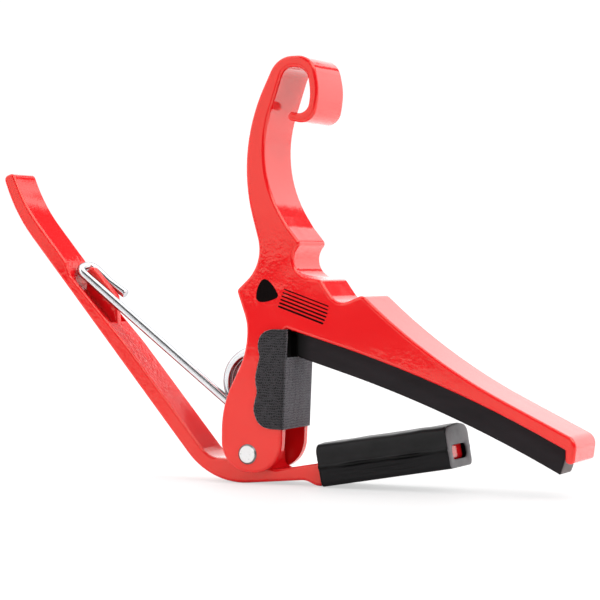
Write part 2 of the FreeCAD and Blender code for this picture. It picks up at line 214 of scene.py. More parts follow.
def boot_rubber():
    """Dipped rubber: satin, with fine creases along the sleeve, painted shade under and inside the
    folds, and a greyer open end.
    """
    material, g = new_material("boot_rubber")
    place = g.place()
    streak = g.noise(g.drawn(place, 0.12, -0.17), 700.0, 3.0, 0.6)
    shade = g.noise(place, 250.0, 3.0, 0.6)
    # Painted shade: the sleeve is darker under its main fold, and almost black inside the folds.
    body = g.ramp(shade, grey(0.0072), (0.0112, 0.0106, 0.0114, 1))
    body = g.mix(g.step(g.attribute("under_fold"), 0.3, 0.7), body, (0.0040, 0.0036, 0.0042, 1))
    body = g.mix(g.step(g.attribute("valley"), 0.15, 0.8), body, grey(0.0004))
    cut = g.ramp(shade, (0.100, 0.095, 0.099, 1), (0.128, 0.122, 0.127, 1))
    colour = g.mix(g.step(g.attribute("end_face"), 0.3, 0.7), body, cut)
    normal = g.bump(streak, 0.07 * MM, 0.5)
    normal = g.bump(g.noise(place, 2200.0), 0.012 * MM, 0.5, normal)
    finish_material(g, {
        "Base Color": colour, "Roughness": g.ramp(streak, grey(0.34), grey(0.46)),
        "Specular IOR Level": 0.12, "Normal": normal,
    })
    return material


def bright_wire():
    """Bright wire, with a faintly uneven polish."""
    material, g = new_material("spring_wire")
    place = g.place()
    grain = g.noise(place, 900.0)
    finish_material(g, {
        "Base Color": g.ramp(grain, (0.50, 0.505, 0.52, 1), (0.55, 0.555, 0.565, 1)),
        "Metallic": 1.0, "Roughness": g.ramp(grain, grey(0.17), grey(0.23)),
        "Specular Tint": (0.33, 0.33, 0.35, 1.0),
    })
    return material


def pin_steel():
    """Turned steel: fine rings about the pin's axis, and a rim painted dark for the shade on its
    chamfer.
    """
    material, g = new_material("pin_steel")
    place = g.place()
    away = g.node("ShaderNodeVectorMath", {0: place, 1: PIN}, operation="SUBTRACT").outputs[0]
    x, _, z = g.axes(away)
    radius = g.math("SQRT", g.math("ADD", g.math("POWER", x, 2.0), g.math("POWER", z, 2.0)))
    # Painted shade: the outer rim of the pin's end is painted dark, for the darker look of its chamfer.
    rim_shade = g.step(radius, 1.60 * MM, 1.70 * MM)
    rings = g.math("SINE", g.math("MULTIPLY", radius, 2 * math.pi / (0.16 * MM)))
    grain = g.noise(place, 1800.0)
    steel = g.ramp(grain, grey(0.52), grey(0.58))
    finish_material(g, {
        "Base Color": g.mix(rim_shade, steel, grey(0.16)), "Metallic": 1.0,
        "Roughness": g.ramp(grain, grey(0.26), grey(0.40)),
        "Normal": g.bump(rings, 0.004 * MM, 0.6),
    })
    return material


def knit_cloth():
    """Dark knitted cloth: small loops in rows, with a pinhole between them."""
    material, g = new_material("guard_cloth")
    place = g.place()
    round_way, up_way = g.axes(g.attribute("wrap", "Vector"))[:2]
    # Every second row of loops is shifted by half a loop, and all of them wander a little.
    wobble = g.math("MULTIPLY_ADD", g.noise(place, 1100.0, 1.0), 1.3, -0.65)
    row = g.math("ADD", g.math("DIVIDE", up_way, KNIT_ROW * MM), wobble)
    shift = g.math("MULTIPLY", g.math("FLOOR", g.math("ADD", row, 0.5)), 0.5)
    column = g.math("ADD", g.math("DIVIDE", round_way, KNIT_COLUMN * MM), shift)
    column = g.math("ADD", column, wobble)
    across = g.math("COSINE", g.math("MULTIPLY", column, 2 * math.pi))
    down = g.math("COSINE", g.math("MULTIPLY", row, 2 * math.pi))
    across = g.math("MULTIPLY_ADD", across, 0.25, 0.25)
    down = g.math("MULTIPLY_ADD", down, 0.25, 0.25)
    loops = g.math("ADD", down, across)
    # Painted shade: the pinholes between the loops are painted near black, for the shade inside them.
    patchy = g.step(g.noise(place, 1300.0, 1.0), 0.35, 0.52)
    pinhole_shade = g.math("MULTIPLY", g.step(loops, 0.55, 0.85), patchy)
    yarn = g.noise(place, 6000.0, 2.0, 0.6)
    body = g.ramp(yarn, (0.026, 0.0245, 0.0260, 1), (0.048, 0.045, 0.049, 1))
    # Painted sheen: the front is greyer than the sides, for the brighter sheen it shows at a grazing
    # view.
    body = g.mix(g.step(g.facing(), 0.6, 0.95), body, (0.082, 0.079, 0.086, 1))
    height = g.math("ADD", g.math("MULTIPLY", loops, -1.0), g.math("MULTIPLY", yarn, 0.35))
    finish_material(g, {
        "Base Color": g.mix(pinhole_shade, body, grey(0.001)), "Roughness": 0.95, "Specular IOR Level": 0.1,
        "Sheen Weight": 0.5, "Sheen Roughness": 0.35, "Sheen Tint": (0.7, 0.7, 0.76, 1.0),
        "Normal": g.bump(height, 0.14 * MM, 0.9),
    })
    return material


def painted_shade_cloth():
    """The cloth turned into the clevis, painted near black for the deep shade in there."""
    material, g = new_material("guard_painted_shade")
    place = g.place()
    grain = g.noise(place, 2500.0)
    finish_material(g, {
        "Base Color": g.ramp(grain, grey(0.0012), grey(0.0028)), "Roughness": 0.95,
        "Specular IOR Level": 0.02, "Normal": g.bump(grain, 0.05 * MM, 0.6),
    })
    return material


def print_ink():
    """Black printing ink, thin over the paint."""
    material, g = new_material("mark_ink")
    place = g.place()
    grain = g.noise(place, 3500.0, 2.0, 0.6)
    finish_material(g, {
        "Base Color": g.ramp(grain, (0.0015, 0.0008, 0.0008, 1), (0.004, 0.0016, 0.0016, 1)),
        "Roughness": 0.5, "Specular IOR Level": 0.03,
        "Normal": g.bump(grain, 0.004 * MM, 0.5),
    })
    return material


def paint(node, material):
    mesh = NODES[node].data
    mesh.materials.clear()
    mesh.materials.append(material)


# ---------------------------------------------------------------- mesh helpers

def unit(value):
    """The value, held between 0 and 1."""
    return min(1.0, max(0.0, value))


def rounded_run(corners, spacing):
    """Samples a run of (x, z, radius) corners, in millimetres, rounding each inner one by an arc."""
    points = [Vector((x, z)) for x, z, radius in corners]
    bends = []
    for i in range(1, len(corners) - 1):
        back = (points[i - 1] - points[i]).normalized()
        ahead = (points[i + 1] - points[i]).normalized()
        half = back.angle(ahead) / 2
        reach = corners[i][2] / math.tan(half)
        centre = points[i] + (back + ahead).normalized() * (corners[i][2] / math.sin(half))
        bends.append((points[i] + back * reach, points[i] + ahead * reach, centre))
    path = [points[0]]
    for arc_in, arc_out, centre in bends:
        start, end = arc_in - centre, arc_out - centre
        sweep = start.angle(end)
        count = max(2, math.ceil(sweep * start.length / spacing))
        for k in range(count + 1):
            a, b = math.sin(sweep * (1 - k / count)), math.sin(sweep * k / count)
            path.append(centre + (start * a + end * b) / math.sin(sweep))
    path.append(points[-1])
    return path


def resample(path, count):
    """Spreads count points evenly along a polyline of any dimension."""
    lengths = [0.0]
    for a, b in zip(path, path[1:]):
        lengths.append(lengths[-1] + (b - a).length)
    result = []
    k = 0
    for i in range(count):
        goal = lengths[-1] * i / (count - 1)
        while k < len(path) - 2 and lengths[k + 1] < goal:
            k += 1
        span = lengths[k + 1] - lengths[k]
        t = (goal - lengths[k]) / span if span > 0 else 0.0
        result.append(path[k].lerp(path[k + 1], unit(t)))
    return result


def flowing(points, per_span=8):
    """A smooth curve through points (Catmull-Rom), as a polyline."""
    ends = [points[0] * 2 - points[1]] + list(points) + [points[-1] * 2 - points[-2]]
    path = []
    for i in range(1, len(ends) - 2):
        p0, p1, p2, p3 = ends[i - 1:i + 3]
        for k in range(per_span):
            t = k / per_span
            path.append(
                (p1 * 2 + (p2 - p0) * t + (p0 * 2 - p1 * 5 + p2 * 4 - p3) * t * t
                 + (p1 * 3 - p0 - p2 * 3 + p3) * t * t * t) / 2
            )
    path.append(points[-1])
    return path


def make_object(name, verts, faces, material, body=None, smooth=True):
    """Makes a mesh object from vertices in metres, and rides it on a body."""
    mesh = bpy.data.meshes.new(name)
    mesh.from_pydata([tuple(v) for v in verts], [], faces)
    mesh.materials.append(material)
    mesh.validate()
    if smooth:
        mesh.polygons.foreach_set("use_smooth", [True] * len(mesh.polygons))
    made = bpy.data.objects.new(name, mesh)
    scene.collection.objects.link(made)
    if body:
        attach(made, body)
    return made


def fix_normals(made):
    """Turns every face outwards."""
    work = bmesh.new()
    work.from_mesh(made.data)
    bmesh.ops.recalc_face_normals(work, faces=work.faces)
    work.to_mesh(made.data)
    work.free()


def apply_modifier(made, kind, **settings):
    modifier = made.modifiers.new(kind.lower(), kind)
    for key, value in settings.items():
        setattr(modifier, key, value)
    seen = made.evaluated_get(bpy.context.evaluated_depsgraph_get())
    mesh = bpy.data.meshes.new_from_object(seen)
    made.modifiers.remove(modifier)
    made.data = mesh


def loft(rings, closed_path=False):
    """Joins rings of points by quads, and returns vertices and faces."""
    count = len(rings[0])
    verts = [point for ring in rings for point in ring]
    faces = []
    last = len(rings) if closed_path else len(rings) - 1
    for i in range(last):
        for k in range(count):
            a, b = i * count, (i + 1) % len(rings) * count
            faces.append((a + k, a + (k + 1) % count, b + (k + 1) % count, b + k))
    return verts, faces


def cap(verts, faces, ring, flip=False):
    """Closes one ring by a fan about its middle."""
    middle = sum((verts[i] for i in ring), Vector((0, 0, 0))) / len(ring)
    verts.append(middle)
    for k in range(len(ring)):
        a, b = ring[k], ring[(k + 1) % len(ring)]
        faces.append((b, a, len(verts) - 1) if flip else (a, b, len(verts) - 1))


# ---------------------------------------------------------------- torsion spring

WIRE = 1.8
WIRE_STEP = 0.6
COIL_RADIUS = 6.2
COIL_CENTRE = Vector((-0.95, 0, 13.55))
COIL_HALF_SPAN = 2.2
COIL_STEPS = 150
HOOK_SIDE = 1.95
HOOK_NEAR = Vector((-40.55, -HOOK_SIDE, 35.75))
TO_HOOK = Vector((HOOK_NEAR.x - COIL_CENTRE.x, 0, HOOK_NEAR.z - COIL_CENTRE.z))
# The hook's corners with their bend radii, from the wire's far cut end on.
HOOK_CORNERS = [
    (Vector((-31.7, HOOK_SIDE, 30.7)), 0), (Vector((-35.8, HOOK_SIDE, 33.3)), 9.0),
    (Vector((-39.9, HOOK_SIDE, 36.75)), 1.7), (HOOK_NEAR, 1.7),
]
# The short leg leaves the coil at this angle, bends upright at this x, and ends at this z.
ANCHOR_ANGLE = math.radians(20.0)
ANCHOR_X, ANCHOR_TOP, ANCHOR_BEND = 2.6, 26.4, 3.0
# The cut ends are slightly rounded: each ring's place from the end, and its share of the radius.
CUT_END = [(0.0, 0.72), (0.05, 0.90), (0.18, 1.0)]
ARC_STEP = 0.25


def arc_corner(before, corner, after, radius):
    """Points along the arc that rounds one corner of a path, in 3-D."""
    back, ahead = (before - corner).normalized(), (after - corner).normalized()
    half = back.angle(ahead) / 2
    centre = corner + (back + ahead).normalized() * (radius / math.sin(half))
    start = corner + back * (radius / math.tan(half)) - centre
    end = corner + ahead * (radius / math.tan(half)) - centre
    sweep = start.angle(end)
    count = max(3, math.ceil(sweep * radius / ARC_STEP))
    shares = [
        (math.sin(sweep * (1 - k / count)), math.sin(sweep * k / count)) for k in range(count + 1)
    ]
    return [centre + (start * a + end * b) / math.sin(sweep) for a, b in shares]


def spring_path():
    """The wire's centre line: far cut end, hook, long leg, coil, and the short leg into the jaw."""
    heading = math.atan2(-TO_HOOK.z, -TO_HOOK.x) - math.asin(COIL_RADIUS / TO_HOOK.length)
    start = heading - math.pi / 2
    turns = 3 + (ANCHOR_ANGLE - start % (2 * math.pi)) / (2 * math.pi)
    coil = []
    for k in range(COIL_STEPS + 1):
        turn = start + k / COIL_STEPS * turns * 2 * math.pi
        y = COIL_HALF_SPAN * (2 * k / COIL_STEPS - 1)
        spoke = Vector((math.cos(turn) * COIL_RADIUS, y, math.sin(turn) * COIL_RADIUS))
        coil.append(COIL_CENTRE + spoke)
    corners = HOOK_CORNERS + [(coil[0], 0)]
    path = [corners[0][0]]
    for (before, _), (corner, radius), (after, _) in zip(corners, corners[1:], corners[2:]):
        path += arc_corner(before, corner, after, radius)
    path += coil
    up = Vector((-math.sin(ANCHOR_ANGLE), 0, math.cos(ANCHOR_ANGLE)))
    bend = coil[-1] + up * ((coil[-1].x - ANCHOR_X) / math.sin(ANCHOR_ANGLE))
    top = Vector((bend.x, bend.y, ANCHOR_TOP))
    path += arc_corner(coil[-1], bend, top, ANCHOR_BEND)
    path.append(top)
    return path


def even_steps(path, longest):
    """Adds points on long runs, so that no step is longer than this."""
    result = [path[0]]
    for a, b in zip(path, path[1:]):
        if (b - a).length < 0.02:
            continue
        count = max(1, math.ceil((b - a).length / longest))
        result += [a.lerp(b, k / count) for k in range(1, count + 1)]
    return result


def make_spring(material):
    path = even_steps(spring_path(), WIRE_STEP)
    around = 20
    rings = []
    neighbours = zip(path[:1] + path[:-1], path[1:] + path[-1:])
    tangents = [(after - before).normalized() for before, after in neighbours]
    side = tangents[0].cross(Vector((0, 1, 0))).normalized()
    for i, point in enumerate(path):
        side = (side - tangents[i] * side.dot(tangents[i])).normalized()
        up = tangents[i].cross(side)
        shapes = [(0.0, 1.0)]
        if i == 0:
            shapes = CUT_END
        if i == len(path) - 1:
            shapes = [(-along, wide) for along, wide in reversed(CUT_END)]
        for along, wide in shapes:
            middle = point + tangents[i] * along
            rings.append([
                at(*(middle + (side * math.cos(t) + up * math.sin(t)) * (WIRE / 2 * wide)))
                for t in (2 * math.pi * k / around for k in range(around))
            ])
    verts, faces = loft(rings)
    cap(verts, faces, list(range(around)), flip=True)
    cap(verts, faces, list(range((len(rings) - 1) * around, len(rings) * around)))
    made = make_object("spring_wire_coil", verts, faces, material)
    fix_normals(made)
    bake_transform(made)
    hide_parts("torsion_spring")


# ---------------------------------------------------------------- string pad

PAD_HALF_WIDTH = 3.3
PAD_EDGE = 0.4
# Its upper and lower lines, as corners of x, z and the radius that bends them.
PAD_TOP = [(9.0, 25.0, 0), (41.9, 15.4, 250.8), (64.3, 3.85, 0)]
PAD_LOW = [(9.0, 19.0, 0), (39.75, 9.7, 245.0), (62.3, -1.75, 0)]
QUARTER = [math.pi / 2 * k / 4 for k in range(5)]


def pad_ring(base, up, height, inset, phase):
    """One cross-section of the pad, as (x, y, z): up one side and down the other."""
    half = PAD_HALF_WIDTH - inset
    side = [(half - PAD_EDGE * (1 - math.sin(a)), PAD_EDGE * (1 - math.cos(a))) for a in QUARTER]
    # The sides bow out by about a tenth of a millimetre, a little unevenly along the strip.
    rise = 14
    for k in range(1, rise):
        h = k / rise
        bow = (0.10 + 0.05 * math.sin(9 * h + phase)) * math.sin(math.pi * h)
        side.append((half + bow, PAD_EDGE + (height - 2 * PAD_EDGE) * h))
    for a in QUARTER:
        side.append((half - PAD_EDGE * (1 - math.cos(a)), height - PAD_EDGE * (1 - math.sin(a))))
    outline = [(-y, z) for y, z in side] + [(y, z) for y, z in reversed(side)]
    return [at((base + up * z).x, y, (base + up * z).y) for y, z in outline]


def make_pad(material):
    """Rubber strip: a lofted bar whose sides bow a little, with rounded edges and soft ends."""
    stations = 90
    top = resample(rounded_run(PAD_TOP, 1.0), stations)
    low = resample(rounded_run(PAD_LOW, 1.0), stations)
    # Each section is a station, which way its end is turned in, and how far in and along that is.
    rounding = [(PAD_EDGE * (1 - math.sin(a)), PAD_EDGE * (1 - math.cos(a))) for a in QUARTER]
    ends = [(0, 1, inset, push) for inset, push in rounding]
    middle = [(i, 1, 0.0, 0.0) for i in range(1, stations - 1)]
    tail = [(stations - 1, -1, inset, push) for inset, push in reversed(rounding)]
    rings = []
    for i, sign, inset, push in ends + middle + tail:
        up = (top[i] - low[i]).normalized()
        along = Vector((up.y, -up.x)) * sign
        base = low[i] + up * inset + along * push
        rings.append(pad_ring(base, up, (top[i] - low[i]).length - 2 * inset, inset, i * 0.11))
    verts, faces = loft(rings)
    count = len(rings[0])
    cap(verts, faces, list(range(count)), flip=True)
    cap(verts, faces, list(range(len(verts) - 1 - count, len(verts) - 1)))
    made = make_object("string_pad_rubber", verts, faces, material, "jaw")
    fix_normals(made)
    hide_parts("string_pad")


# ---------------------------------------------------------------- lever boot

BOOT_HALF_WIDTH = 5.75
# The radii of the section's lower and upper corners.
BOOT_CORNERS = (0.9, 1.5)
# The sleeve's upper and lower lines, and the bore's, from the hub's side to the open end, as x and z.
BOOT_TOP = (Vector((13.95, 2.1)), Vector((40.75, 6.35)))
BOOT_LOW = (Vector((15.4, -5.8)), Vector((42.0, -1.2)))
BORE_TOP = (Vector((12.0, -1.67)), Vector((46.0, 4.33)))
BORE_LOW = (Vector((12.0, -5.185)), Vector((46.0, 0.77)))
BORE_HALF_WIDTH, BORE_CORNER = 4.3, 0.3
# How far the open end's window stands inside the bore, below and above, and its corners.
WINDOW_LIP_LOW, WINDOW_LIP_HIGH, WINDOW_CORNER = 0.34, 0.42, 1.1
BOOT_LIP = 0.35
# The height of the main fold, as a share of the sleeve's.
MAIN_FOLD = 0.46
SIDE_STEPS, TOP_STEPS, CORNER_STEPS = 64, 30, 6


def box_ring(half, height, corner, crown=0.0):
    """A rounded rectangle as (y, z), from the bottom's left end round by the right."""
    ring = []
    low, high = corner
    spans = [
        ((-half + low, 0.0), (half - low, 0.0), TOP_STEPS),
        ((half, low), (half, height - high), SIDE_STEPS),
        ((half - high, height), (-half + high, height), TOP_STEPS),
        ((-half, height - high), (-half, low), SIDE_STEPS),
    ]
    centres = [
        (half - low, low, low, -90), (half - high, height - high, high, 0),
        (-half + high, height - high, high, 90), (-half + low, low, low, 180),
    ]
    for (start, end, steps), (y, z, radius, angle) in zip(spans, centres):
        for k in range(steps):
            t = k / steps
            ring.append((start[0] + (end[0] - start[0]) * t, start[1] + (end[1] - start[1]) * t))
        for k in range(CORNER_STEPS):
            turn = math.radians(angle + 90 * k / CORNER_STEPS)
            ring.append((y + radius * math.cos(turn), z + radius * math.sin(turn)))
    result = []
    for y, z in ring:
        lift = crown * (1 - (y / half) ** 2) * max(0.0, z / height * 2 - 1)
        result.append((y, z + lift))
    return result


def crease(h, s, place, depth, width, seed):
    """How deep one lengthwise fold cuts in, at height h and station s."""
    line = place + 0.012 * noise.noise(Vector((s * 7, seed, 0)))
    line += 0.006 * noise.noise(Vector((s * 26, seed, 4)))
    fade = 0.75 + 0.6 * noise.noise(Vector((s * 5, seed, 9)))
    gap = (h - line) / width
    return depth * max(0.0, fade) * math.exp(-gap * gap)


def boot_folds(h, s):
    """How deep the sleeve's folds cut in, in millimetres, at a height and a station."""
    middle = math.sin(math.pi * s) ** 2
    return [
        crease(h, s, 0.457, 0.75, 0.044, 1.0), crease(h, s, 0.88, 0.16, 0.030, 2.0),
        crease(h, s, 0.30, 0.24 * middle, 0.026, 3.0), crease(h, s, 0.19, 0.18 * middle, 0.030, 4.0),
        crease(h, s, 0.66, 0.07, 0.060, 6.0),
    ]


def boot_skin(y, z, s, height):
    """Moves a point of the plain section out or in, for the sleeve's folds and bulges."""
    h = z / height
    side = max(0.0, 1 - ((abs(y) - BOOT_HALF_WIDTH) / BOOT_CORNERS[0]) ** 2)
    inward = sum(boot_folds(h, s))
    ends = math.sin(math.pi * unit(s)) ** 0.4
    above = (h - MAIN_FOLD) / (1 - MAIN_FOLD)
    bulge = 0.10 * math.sin(math.pi * unit(above)) if above > 0 else 0.05
    soft = 0.06 * noise.noise(Vector((s * 6, h * 3, 5.0 + (y > 0) * 7)))
    move = side * ((bulge + soft) * ends - inward * (0.35 + 0.65 * ends))
    top = max(0.0, (h - 0.9) / 0.1) * 0.10 * noise.noise(Vector((s * 8, y * 0.35, 8.0)))
    return (y + math.copysign(move, y), z + top)


def boot_point(s, y, z):
    """A point of the sleeve from its station, its place across and its height over the bottom."""
    low = BOOT_LOW[0].lerp(BOOT_LOW[1], s)
    high = BOOT_TOP[0].lerp(BOOT_TOP[1], s)
    up = (high - low).normalized()
    spot = low + up * z
    return at(spot.x, y, spot.y)


def bore_span(s):
    """How high the bore's floor and roof are over the sleeve's bottom, at a station."""
    low = BOOT_LOW[0].lerp(BOOT_LOW[1], s)
    high = BOOT_TOP[0].lerp(BOOT_TOP[1], s)
    up = (high - low).normalized()

    def cut(line):
        run = (line[1] - line[0]).normalized()
        across = Vector((-run.y, run.x))
        return (line[0] - low).dot(across) / up.dot(across)

    return cut(BORE_LOW), cut(BORE_TOP)


def make_boot(material):
    """Rubber sleeve: a hollow loft with creased sides, a crowned top and a window in its end."""
    stations = 110
    height = [(BOOT_TOP[0] - BOOT_LOW[0]).length, (BOOT_TOP[1] - BOOT_LOW[1]).length]
    length = (BOOT_TOP[1] - BOOT_TOP[0]).length

    def outer(s, inset):
        tall = height[0] + (height[1] - height[0]) * s
        crown = 0.30 + 0.30 * s
        flat = box_ring(BOOT_HALF_WIDTH, tall, BOOT_CORNERS, crown)
        skin = [boot_skin(y, z, s, tall) for y, z in flat]
        middle = tall / 2
        narrow, lower = 1 - inset / BOOT_HALF_WIDTH, 1 - inset / middle
        return [boot_point(s, y * narrow, middle + (z - middle) * lower) for y, z in skin]

    def inner(s, half, low, high, radius):
        flat = box_ring(half, high - low, (radius, radius))
        return [boot_point(s, y, z + low) for y, z in flat]

    # Rings run from the bore's root over the skin to the end face, and back through the bore.
    # Each has a flag, which is 1 on the end face.
    rings = [inner(0.0, BORE_HALF_WIDTH + 0.05, *bore_span(0.0), BORE_CORNER)]
    flags = [0.0]
    for a in QUARTER:
        rings.append(outer(BOOT_LIP * (1 - math.cos(a)) / length, BOOT_LIP * (1 - math.sin(a))))
        flags.append(0.0)
    for i in range(1, stations):
        rings.append(outer(i / stations, 0.0))
        flags.append(0.0)
    for a in reversed(QUARTER):
        rings.append(outer(1 - BOOT_LIP * (1 - math.cos(a)) / length, BOOT_LIP * (1 - math.sin(a))))
        flags.append(1.0 if a < 1.0 else 0.0)
    skin_end = len(rings)
    # The end face runs in to the rounded window, whose lip is a little thinner than the sleeve.
    end_low, end_high = bore_span(1.0)
    end_low, end_high = end_low + WINDOW_LIP_LOW, end_high - WINDOW_LIP_HIGH
    for s, half, grow in ((0.999, 4.8, 1.2), (0.999, 3.9, 0.2), (0.994, 3.75, 0.0), (0.985, 3.75, 0.0)):
        rings.append(inner(s, half, end_low - grow, end_high + grow, WINDOW_CORNER + grow * 0.4))
        flags.append(1.0 if s > 0.99 else 0.0)
    for s in (0.983, 0.75, 0.5, 0.25):
        rings.append(inner(s, BORE_HALF_WIDTH, *bore_span(s), BORE_CORNER))
        flags.append(0.0)
    verts, faces = loft(rings, closed_path=True)
    made = make_object("boot_sleeve", verts, faces, material, "lever")
    section = box_ring(BOOT_HALF_WIDTH, height[0], BOOT_CORNERS)
    end_face, under_fold, valley = (
        made.data.attributes.new(name, "FLOAT", "POINT") for name in ("end_face", "under_fold", "valley")
    )
    # Painted shade: each side point records how far under the main fold it lies and how deep in a fold,
    # and the sleeve's material paints those places dark.
    for k in range(len(verts)):
        ring, (y, z) = k // len(section), section[k % len(section)]
        end_face.data[k].value = flags[ring]
        if abs(y) > 3.0 and not flags[ring] and 0 < ring < skin_end:
            h, s = z / height[0], unit((ring - len(QUARTER)) / stations)
            folds = boot_folds(h, s)
            under_fold.data[k].value = unit((MAIN_FOLD - h) / 0.05)
            valley.data[k].value = min(1.0, folds[0] / 0.4 + folds[2] / 0.25 + folds[3] / 0.3)
    fix_normals(made)
    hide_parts("lever_boot")


# ---------------------------------------------------------------- cloth guard

KNIT_ROW = 0.50
KNIT_COLUMN = 0.46
CLOTH = 0.24
GUARD_LOW, GUARD_TALL, GUARD_SIDE, GUARD_BEND = 5.0, 19.3, 6.6, 0.75
GUARD_FRONT, GUARD_SLOPE = 7.62, 0.0436
# The near panel's back edge with its lobes, from the bottom up, as x and z.
GUARD_BACK = [
    (4.9, 5.05), (3.4, 5.4), (2.1, 6.5), (1.35, 8.6), (1.65, 10.5), (2.05, 12.1), (1.8, 13.7),
    (1.75, 15.2), (2.15, 17.0), (2.6, 18.9), (2.35, 20.3), (2.3, 21.6), (2.75, 22.9), (3.7, 23.8),
    (5.2, 24.3),
]
# The window in the front panel, which is all that lies in front of FRONT_FROM.
WINDOW_LOW, WINDOW_HALF, FRONT_FROM = 19.1, 4.4, 7.9
# The flap's rows, from the window's lower edge back and up, as steps in x and z.
FLAP_X, FLAP_TOP = 8.3, 23.85
FLAP_ROWS = ((-0.35, 0.12), (-0.8, 0.2), (-1.15, 0.6), (-1.3, 1.3), (-1.35, 2.6), (-1.35, 4.55))


def guard_front(z):
    """The front face of the wrapped cloth, at a height."""
    return GUARD_FRONT + (z - GUARD_LOW) * GUARD_SLOPE


def make_guard(material, shade_material):
    """Cloth wrapped round the front of the clevis, one continuous sheet with a folded-in flap."""
    rows = 76
    back = resample(flowing([Vector(p) for p in GUARD_BACK]), rows)
    flat = GUARD_SIDE - GUARD_BEND
    side_steps, bend_steps, front_steps = 24, 6, 38
    grid = []
    for j in range(rows):
        z = GUARD_LOW + GUARD_TALL * j / (rows - 1)
        front = guard_front(z)
        start, turn = back[j], Vector((front - GUARD_BEND, z))
        row = []
        for k in range(side_steps):
            spot = start.lerp(turn, k / side_steps)
            puff = 0.05 * noise.noise(Vector((spot.x * 0.5, spot.y * 0.35, 2.0)))
            free = min(1.0, k / 2.0)
            row.append((spot.x, 0.12 * (1 - free) ** 2 - GUARD_SIDE - puff * free, spot.y))
        for k in range(bend_steps):
            a = math.pi / 2 * k / bend_steps
            row.append((turn.x + GUARD_BEND * math.sin(a), -flat - GUARD_BEND * math.cos(a), z))
        half_row = list(row)
        for k in range(front_steps + 1):
            y = -flat + 2 * flat * k / front_steps
            puff = 0.10 * (1 - (y / flat) ** 2) + 0.05 * noise.noise(Vector((y * 0.5, z * 0.35, 6.0)))
            row.append((front + puff, y, z))
        row += [(x, -y, z) for x, y, z in reversed(half_row)]
        grid.append(row)
    columns = len(grid[0])
    points = [point for row in grid for point in row]
    verts = [at(*point) for point in points]
    wrap = []
    for row in grid:
        run = 0.0
        for k, point in enumerate(row):
            if k:
                run += (Vector(point) - Vector(row[k - 1])).length
            wrap.append(Vector((run, point[2], 0)) * MM)
    # The faces leave the window out.
    faces = []
    for j in range(rows - 1):
        for k in range(columns - 1):
            x, y, z = grid[j][k]
            y, z = (y + grid[j][k + 1][1]) / 2, (z + grid[j + 1][k][2]) / 2
            if z <= WINDOW_LOW or abs(y) >= WINDOW_HALF or x <= FRONT_FROM:
                first = j * columns + k
                faces.append((first, first + 1, first + columns + 1, first + columns))
    # The flap carries on from the window's lower edge, back and up into the clevis. It takes the
    # near-black painted shade, and so does the panel just round the window.
    plain = len(faces)
    shaded_faces = set()
    for i, face in enumerate(faces):
        x, y, z = points[face[0]]
        if x > FRONT_FROM and z > WINDOW_LOW - 0.3 and abs(y) < 6.0:
            shaded_faces.add(i)
    heights = [(low[columns // 2][2] + high[columns // 2][2]) / 2 for low, high in zip(grid, grid[1:])]
    window_row = next(j for j, z in enumerate(heights) if z > WINDOW_LOW)
    edge = [
        (window_row * columns + k, y, z) for k, (x, y, z) in enumerate(grid[window_row])
        if abs(y) < WINDOW_HALF and x > FRONT_FROM
    ]
    before = [index for index, y, z in edge]
    for dx, dz in FLAP_ROWS:
        now = []
        for last, (index, y, z) in zip(before, edge):
            now.append(len(verts))
            verts.append(at(FLAP_X + dx, y * 0.97, min(z + dz, FLAP_TOP)))
            wrap.append(wrap[last] + Vector((0, 0.5 * MM, 0)))
        for k in range(len(edge) - 1):
            faces.append((before[k], before[k + 1], now[k + 1], now[k]))
        before = now
    made = make_object("neck_guard_cloth", verts, faces, material, "jaw")
    made.data.materials.append(shade_material)
    for index, polygon in enumerate(made.data.polygons):
        polygon.material_index = 1 if index >= plain or index in shaded_faces else 0
    attribute = made.data.attributes.new("wrap", "FLOAT_VECTOR", "POINT")
    for k, value in enumerate(wrap):
        attribute.data[k].vector = value
    apply_modifier(made, "SOLIDIFY", thickness=CLOTH * MM, offset=-1.0)
    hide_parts("neck_guard")


# ---------------------------------------------------------------- printed mark

MARK_X, MARK_Z = 9.6, 29.6
MARK_TILT = math.radians(-19.0)
INK = 0.025
STRING_START, STRING_END, STRING_GAP = -2.4, 7.6, 0.70
# Half of the plectrum's outline, from its tip beside the strings to its back.
PLECTRUM = [(-3.25, 0.0), (-3.55, 0.55), (-4.9, 1.6), (-6.4, 2.25), (-7.35, 2.0), (-7.75, 1.0)]
PLECTRUM_BACK = (-7.85, 0.0)


def ribbon(points, width):
    """An outline round a line of (u, v) points, with round ends."""
    left, right = [], []
    for i, point in enumerate(points):
        way = (points[min(i + 1, len(points) - 1)] - points[max(i - 1, 0)]).normalized()
        across = Vector((-way.y, way.x)) * width / 2
        left.append(point + across)
        right.append(point - across)
    ends = []
    for point, inner in ((points[-1], points[-2]), (points[0], points[1])):
        way = (point - inner).normalized()
        across = Vector((-way.y, way.x))
        ends.append([
            point + (across * math.cos(a) + way * math.sin(a)) * width / 2
            for a in (math.pi * k / 8 for k in range(1, 8))
        ])
    return left + ends[0] + list(reversed(right)) + ends[1]


